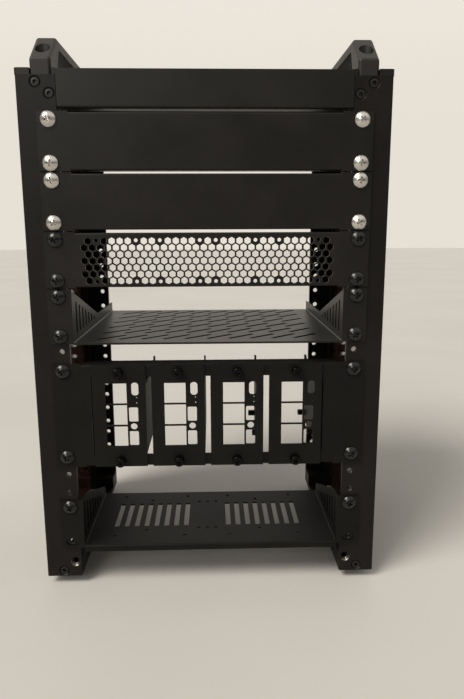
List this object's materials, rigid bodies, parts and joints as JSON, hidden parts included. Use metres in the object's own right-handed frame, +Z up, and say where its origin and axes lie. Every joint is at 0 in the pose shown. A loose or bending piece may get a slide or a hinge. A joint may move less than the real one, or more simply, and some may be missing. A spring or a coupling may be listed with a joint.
{
  "type": "mini server rack",
  "caption": "Desktop ten-inch equipment rack with grooved posts, smoked sides, bridge handles, blank and honeycomb panels, a vented shelf, board trays and a base shelf.",
  "frame": {"origin": "on the floor under the feet, midway across and midway front to back of the whole rack", "axes": "+Z up, +X to the right seen from the front, -Y towards the front with the panels"},
  "size_m": [0.2842, 0.2112, 0.4461],
  "materials": {
    "frame_black": "black anodised, satin",
    "top_black": "black anodised, satin",
    "smoked_panel": "smoked, glossy",
    "handle_grey": "dark grey, sand-blasted",
    "panel_black": "black powder coat, satin",
    "bright_steel": "nickel plated",
    "black_hardware": "black oxide",
    "foot_rubber": "matte"
  },
  "bodies": {
    "root": {"base_shelf": "panel_black", "black_rack_screws": "black_hardware", "board_standoffs": "black_hardware", "board_tray_1": "panel_black", "board_tray_2": "panel_black", "board_tray_3": "panel_black", "board_tray_4": "panel_black", "front_frame_screws": "black_hardware", "front_left_corner_block": "frame_black", "front_left_foot": "foot_rubber", "front_left_post": "frame_black", "front_right_corner_block": "frame_black", "front_right_foot": "foot_rubber", "front_right_post": "frame_black", "front_top_beam": "top_black", "handle_screws": "black_hardware", "left_base_rail": "frame_black", "left_handle": "handle_grey", "left_side_panel": "smoked_panel", "lower_blank_panel": "panel_black", "rear_frame_screws": "black_hardware", "rear_left_corner_block": "frame_black", "rear_left_foot": "foot_rubber", "rear_left_post": "frame_black", "rear_right_corner_block": "frame_black", "rear_right_foot": "foot_rubber", "rear_right_post": "frame_black", "rear_top_beam": "top_black", "right_base_rail": "frame_black", "right_handle": "handle_grey", "right_side_panel": "smoked_panel", "silver_rack_screws": "bright_steel", "top_plate": "top_black", "tray_frame": "panel_black", "tray_thumb_screws": "black_hardware", "upper_blank_panel": "panel_black", "vent_panel": "panel_black", "vented_shelf": "panel_black"}
  },
  "joints": []
}
